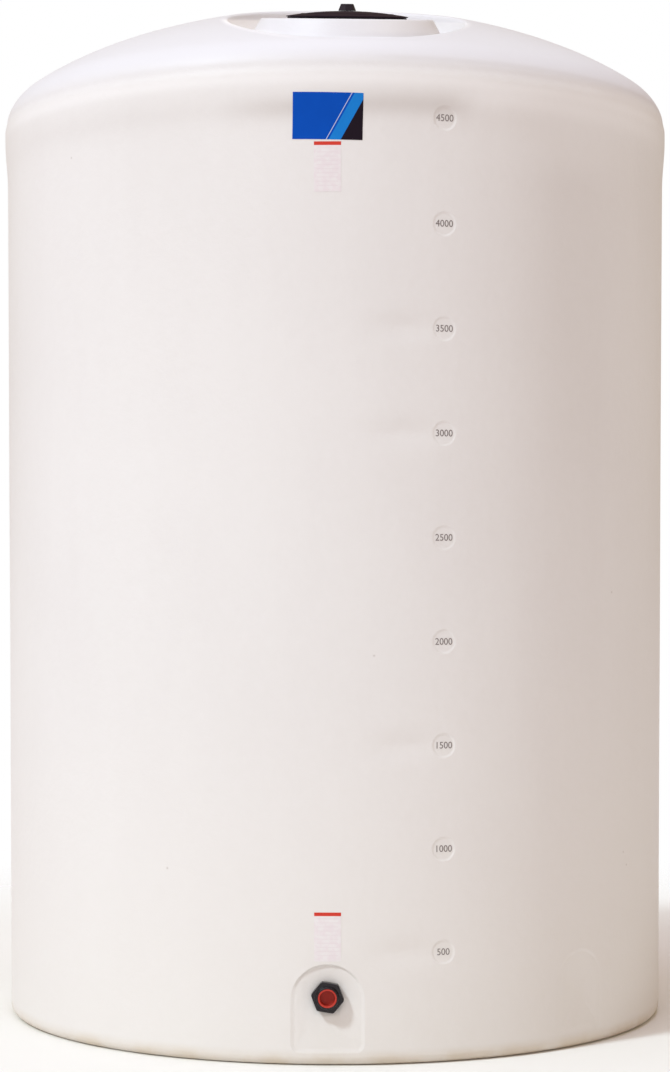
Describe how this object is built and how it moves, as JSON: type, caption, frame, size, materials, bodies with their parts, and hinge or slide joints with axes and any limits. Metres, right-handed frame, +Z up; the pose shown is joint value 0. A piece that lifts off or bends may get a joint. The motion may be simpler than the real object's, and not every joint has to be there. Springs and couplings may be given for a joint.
{
  "type": "vertical storage tank",
  "caption": "Free-standing round plastic storage tank with a domed top, a tilted manway with a lift-off lid, volume marks and one low outlet fitting.",
  "frame": {"origin": "centre of the tank's round base, on the floor", "axes": "+Z up; -Y is the way the outlet fitting faces"},
  "size_m": [2.608, 2.6339, 3.9043],
  "materials": {
    "polyethylene": "natural white moulded polyethylene, semi-matt",
    "lid_plastic": "near-black moulded lid, satin",
    "fitting_plastic": "black moulded fitting, satin",
    "plug_plastic": "red moulded plug",
    "gasket_rubber": "black rubber",
    "label_film": "printed adhesive film",
    "card_film": "pale adhesive film"
  },
  "bodies": {
    "tank": {"tank_floor": "polyethylene", "wall_segment_00": "polyethylene", "wall_segment_01": "polyethylene", "wall_segment_02": "polyethylene", "wall_segment_03": "polyethylene", "wall_segment_04": "polyethylene", "wall_segment_05": "polyethylene", "wall_segment_06": "polyethylene", "wall_segment_07": "polyethylene", "wall_segment_08": "polyethylene", "wall_segment_09": "polyethylene", "wall_segment_10": "polyethylene", "wall_segment_11": "polyethylene", "wall_segment_12": "polyethylene", "wall_segment_13": "polyethylene", "wall_segment_14": "polyethylene", "wall_segment_15": "polyethylene", "roof_segment_0": "polyethylene", "roof_segment_1": "polyethylene", "roof_segment_2": "polyethylene", "roof_segment_3": "polyethylene", "roof_segment_4": "polyethylene", "roof_segment_5": "polyethylene", "roof_segment_6": "polyethylene", "roof_segment_7": "polyethylene", "roof_crown": "polyethylene", "manway_well": "polyethylene", "manway_collar": "polyethylene", "lid_ring": "lid_plastic", "outlet_body": "fitting_plastic", "outlet_nut": "fitting_plastic", "lid_gasket": "gasket_rubber", "outlet_gasket": "gasket_rubber", "outlet_inner_gasket": "gasket_rubber", "outlet_plug": "plug_plastic", "front_label": "label_film", "upper_card": "card_film", "lower_card": "card_film"},
    "lid": {"manway_lid": "lid_plastic", "vent_cap": "lid_plastic"}
  },
  "joints": [
    {"name": "lid_lift", "type": "slide", "parent": "tank", "child": "lid", "axis": [0.0163, -0.2244, 0.9744], "range_m": [0, 0.3]}
  ]
}
